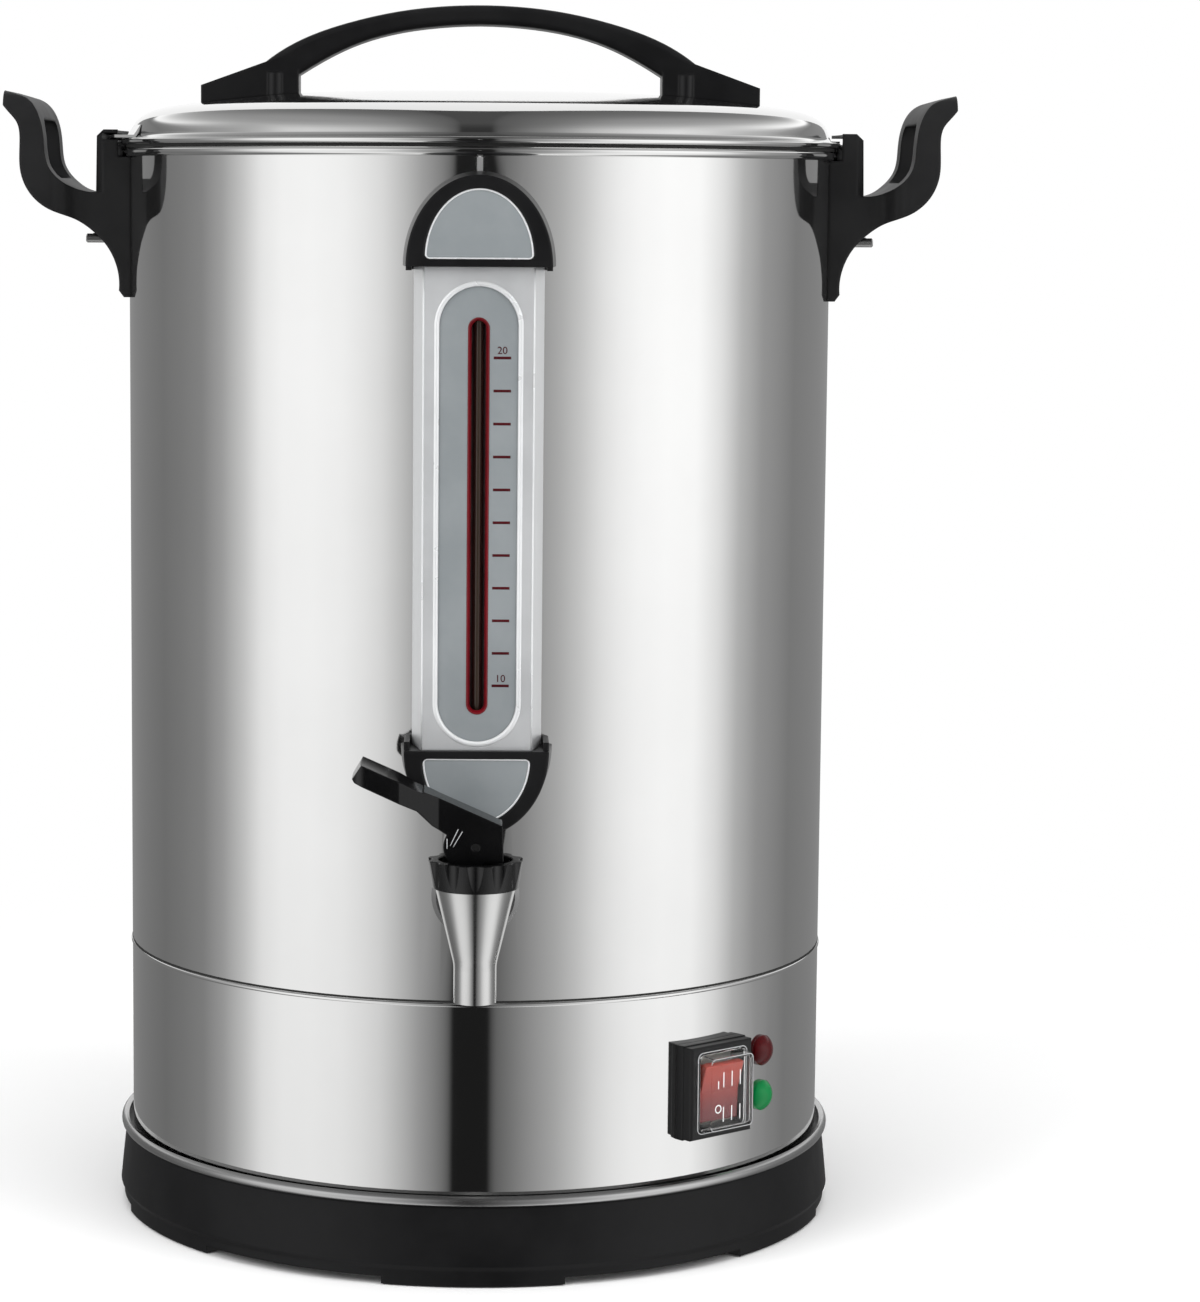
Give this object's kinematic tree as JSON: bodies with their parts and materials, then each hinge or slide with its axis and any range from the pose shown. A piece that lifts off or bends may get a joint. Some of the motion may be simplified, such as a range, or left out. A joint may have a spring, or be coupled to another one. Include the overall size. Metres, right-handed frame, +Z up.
{
  "type": "coffee urn",
  "caption": "Polished steel coffee urn with a black base, side handles and lid grip, a front level gauge, a lever tap, a rocker switch and two pilot lamps.",
  "frame": {"origin": "on the vessel's axis, level with the undersides of the foot pads", "axes": "+Z is up along the vessel's axis, -Y is the front with the tap and the level gauge, +X is to the right seen from the front"},
  "size_m": [0.4144, 0.38, 0.5351],
  "materials": {
    "black_moulding": "fine-grained black heat-proof moulding",
    "soft_rubber": "dark silicone and rubber",
    "polished_steel": "stainless sheet polished to a mirror",
    "bright_trim": "bright plated casting and ring",
    "plain_steel": "plain stainless pressings and fasteners",
    "brewing_aluminium": "satin aluminium pressings",
    "heater_sheath": "dull oxidised heater sheath",
    "control_plastic": "pale heat-proof control mouldings",
    "gauge_grey": "satin silver-grey moulding",
    "scale_grey": "grey scale plate",
    "signal_red": "red moulding",
    "gauge_glass": "clear glass tube",
    "clear_boot": "clear flexible splash boot",
    "red_lens": "red lamp lens",
    "green_lens": "green lamp lens"
  },
  "bodies": {
    "urn": {"base_moulding": "black_moulding", "foot_pads": "soft_rubber", "bottom_cover": "plain_steel", "bottom_cover_screws": "plain_steel", "base_screws": "plain_steel", "base_trim_ring": "bright_trim", "lower_shell": "polished_steel", "tank_wall": "polished_steel", "tank_floor": "plain_steel", "heating_element": "heater_sheath", "keep_warm_heater": "heater_sheath", "thermostat": "control_plastic", "boil_dry_cutout": "control_plastic", "terminal_block": "control_plastic", "heater_leads": "control_plastic", "cord_gland": "black_moulding", "gland_nut": "black_moulding", "switch_bezel": "black_moulding", "switch_body": "control_plastic", "switch_cover": "clear_boot", "red_lamp_lens": "red_lens", "green_lamp_lens": "green_lens", "lamp_holders": "control_plastic", "gauge_frame": "gauge_grey", "gauge_scale_plate": "scale_grey", "gauge_red_strip": "signal_red", "gauge_tube": "gauge_glass", "gauge_tube_seals": "soft_rubber", "gauge_top_cap": "black_moulding", "gauge_bottom_cap": "black_moulding", "gauge_top_insert": "gauge_grey", "gauge_bottom_insert": "gauge_grey", "gauge_screws": "plain_steel", "gauge_hanger": "polished_steel", "tap_body": "bright_trim", "gauge_socket": "bright_trim", "tap_washers": "soft_rubber", "tap_nut": "plain_steel", "tap_bonnet": "black_moulding", "tap_spring": "plain_steel", "left_handle": "black_moulding", "right_handle": "black_moulding", "handle_bolts": "plain_steel", "handle_nuts": "plain_steel"},
    "lid_seal": {"lid_seal": "soft_rubber"},
    "lid": {"lid_shell": "polished_steel", "lid_handle": "black_moulding", "lid_handle_screws": "plain_steel", "lid_tabs": "polished_steel"},
    "percolator": {"percolator_stem": "brewing_aluminium", "brew_basket": "brewing_aluminium", "basket_cover": "brewing_aluminium"},
    "tap_plunger": {"tap_seat_cup": "soft_rubber"},
    "tap_spindle": {"tap_stem": "plain_steel", "tap_pivot_pin": "plain_steel"},
    "tap_lever": {"tap_lever": "black_moulding"},
    "switch_rocker": {"switch_rocker": "signal_red"}
  },
  "joints": [
    {"name": "lid_lift", "type": "slide", "parent": "urn", "child": "lid_seal", "axis": [0, 0, 1], "range_m": [0, 0.2]},
    {"name": "lid_twist", "type": "hinge", "parent": "lid_seal", "child": "lid", "pos_m": [0, 0, 0.4732], "axis": [0, 0, -1], "range_deg": [0, 13.5]},
    {"name": "percolator_lift", "type": "slide", "parent": "urn", "child": "percolator", "axis": [0, 0, 1], "range_m": [0, 0.025]},
    {"name": "tap_seat_lift", "type": "slide", "parent": "urn", "child": "tap_plunger", "axis": [0, 0, 1], "range_m": [0, 0.0021], "deforming": ["tap_spring"]},
    {"name": "tap_swivel", "type": "hinge", "parent": "tap_plunger", "child": "tap_spindle", "pos_m": [0, -0.195, 0.154], "axis": [0, 0, 1], "range_deg": [0, 180]},
    {"name": "tap_lever", "type": "hinge", "parent": "tap_spindle", "child": "tap_lever", "pos_m": [0, -0.195, 0.1938], "axis": [0, -1, 0], "range_deg": [0, 35], "stiffness_Nm_per_rad": 0.25},
    {"name": "switch_rocker", "type": "hinge", "parent": "urn", "child": "switch_rocker", "pos_m": [0.1013, -0.12073, 0.077], "axis": [-0.766, -0.6428, 0], "range_deg": [0, 18]}
  ],
  "couplings": [
    {"joint": "tap_seat_lift", "follows": "tap_lever", "m_per_rad": 0.0032864}
  ]
}
